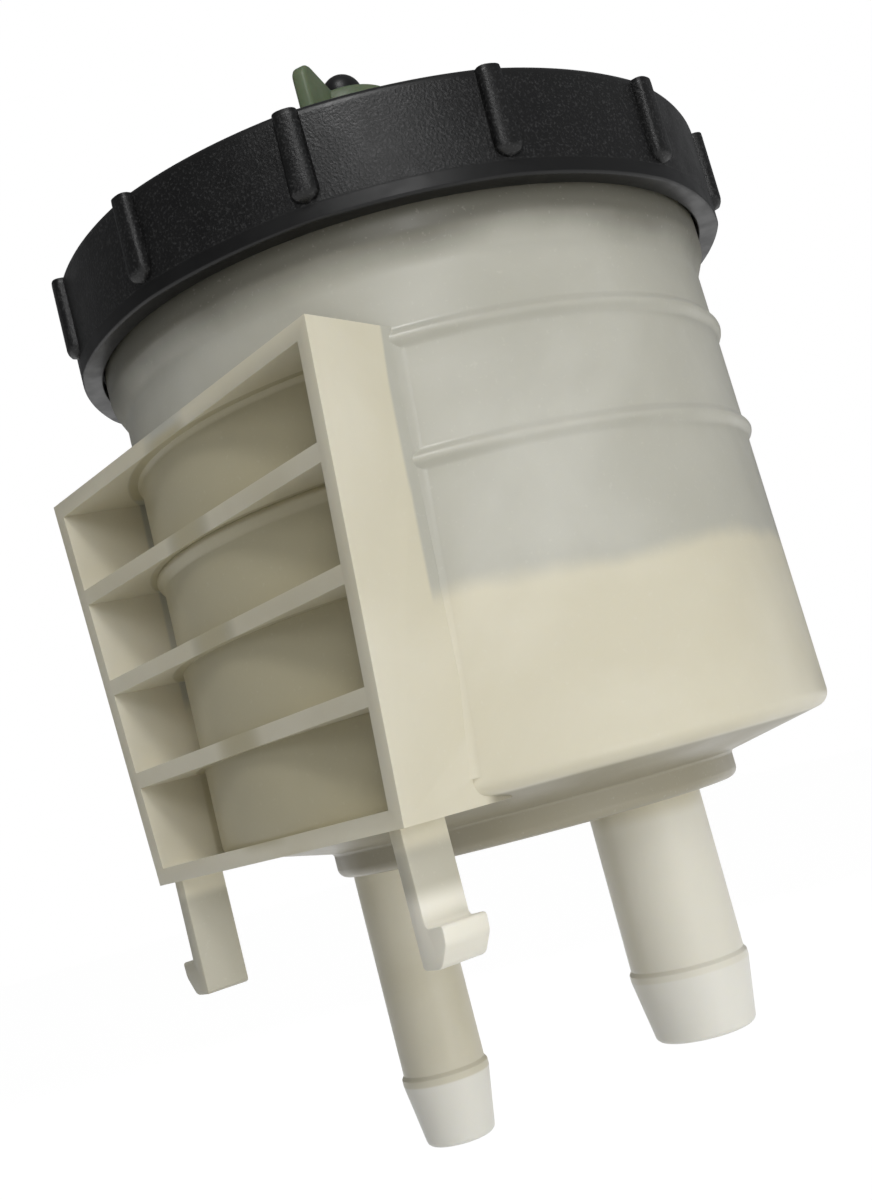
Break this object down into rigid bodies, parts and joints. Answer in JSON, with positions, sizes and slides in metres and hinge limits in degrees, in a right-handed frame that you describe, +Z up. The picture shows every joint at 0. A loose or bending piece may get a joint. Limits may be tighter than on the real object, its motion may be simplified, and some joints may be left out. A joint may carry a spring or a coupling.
{
  "type": "power steering reservoir",
  "caption": "Round moulded oil reservoir with a ribbed snap bracket and hose stubs below, closed by a cover under a black union ring and a winged filler cap.",
  "frame": {"origin": "middle of the bracket's front face, on the edge of its middle shelf", "axes": "+Z up along the tank's axis, -Y out of the bracket's front face, +X to the right of it"},
  "size_m": [0.11, 0.11, 0.1766],
  "materials": {
    "natural_plastic": "satin",
    "black_plastic": "grained",
    "green_plastic": "satin",
    "black_rubber": "matte",
    "cream_plastic": "satin",
    "white_plastic": "satin",
    "filter_paper": "matte",
    "pressed_steel": "satin",
    "spring_steel": "satin",
    "steel_mesh": "matte"
  },
  "bodies": {
    "tank_body": {"tank": "natural_plastic", "baffle_cup": "cream_plastic", "inlet_grommet": "black_rubber", "filter_lower_plate": "pressed_steel", "filter_core": "pressed_steel", "filter_pleats": "filter_paper", "filter_upper_plate": "pressed_steel", "bypass_cage": "pressed_steel", "bypass_spring": "spring_steel", "hold_down_spring": "spring_steel", "strainer_frame": "white_plastic", "strainer_mesh": "steel_mesh"},
    "cover_body": {"cover": "green_plastic", "cover_seal": "black_rubber", "spring_cup": "pressed_steel"},
    "ring_body": {"union_ring": "black_plastic"},
    "cap_body": {"wing_cap": "green_plastic", "cap_seal": "black_rubber", "dipstick": "white_plastic", "vent_button": "black_plastic"},
    "bypass_body": {"bypass_disc": "pressed_steel"}
  },
  "joints": [
    {"name": "cover_lift", "type": "slide", "parent": "tank_body", "child": "cover_body", "axis": [0, 0, 1], "range_m": [0, 0.00601], "deforming": ["hold_down_spring"]},
    {"name": "ring_turn", "type": "hinge", "parent": "cover_body", "child": "ring_body", "pos_m": [0, 0.0504, 0.05565], "axis": [0, 0, 1], "range_deg": [0, 540]},
    {"name": "cap_turn", "type": "hinge", "parent": "cover_body", "child": "cap_body", "pos_m": [0, 0.0504, 0.07565], "axis": [0, 0, 1], "range_deg": [0, 90]},
    {"name": "bypass_lift", "type": "slide", "parent": "tank_body", "child": "bypass_body", "axis": [0, 0, 1], "range_m": [0, 0.0025], "stiffness_N_per_m": 300, "springref_m": -0.001, "deforming": ["bypass_spring"]}
  ],
  "couplings": [
    {"joint": "cover_lift", "follows": "ring_turn", "m_per_rad": 0.00063662}
  ]
}
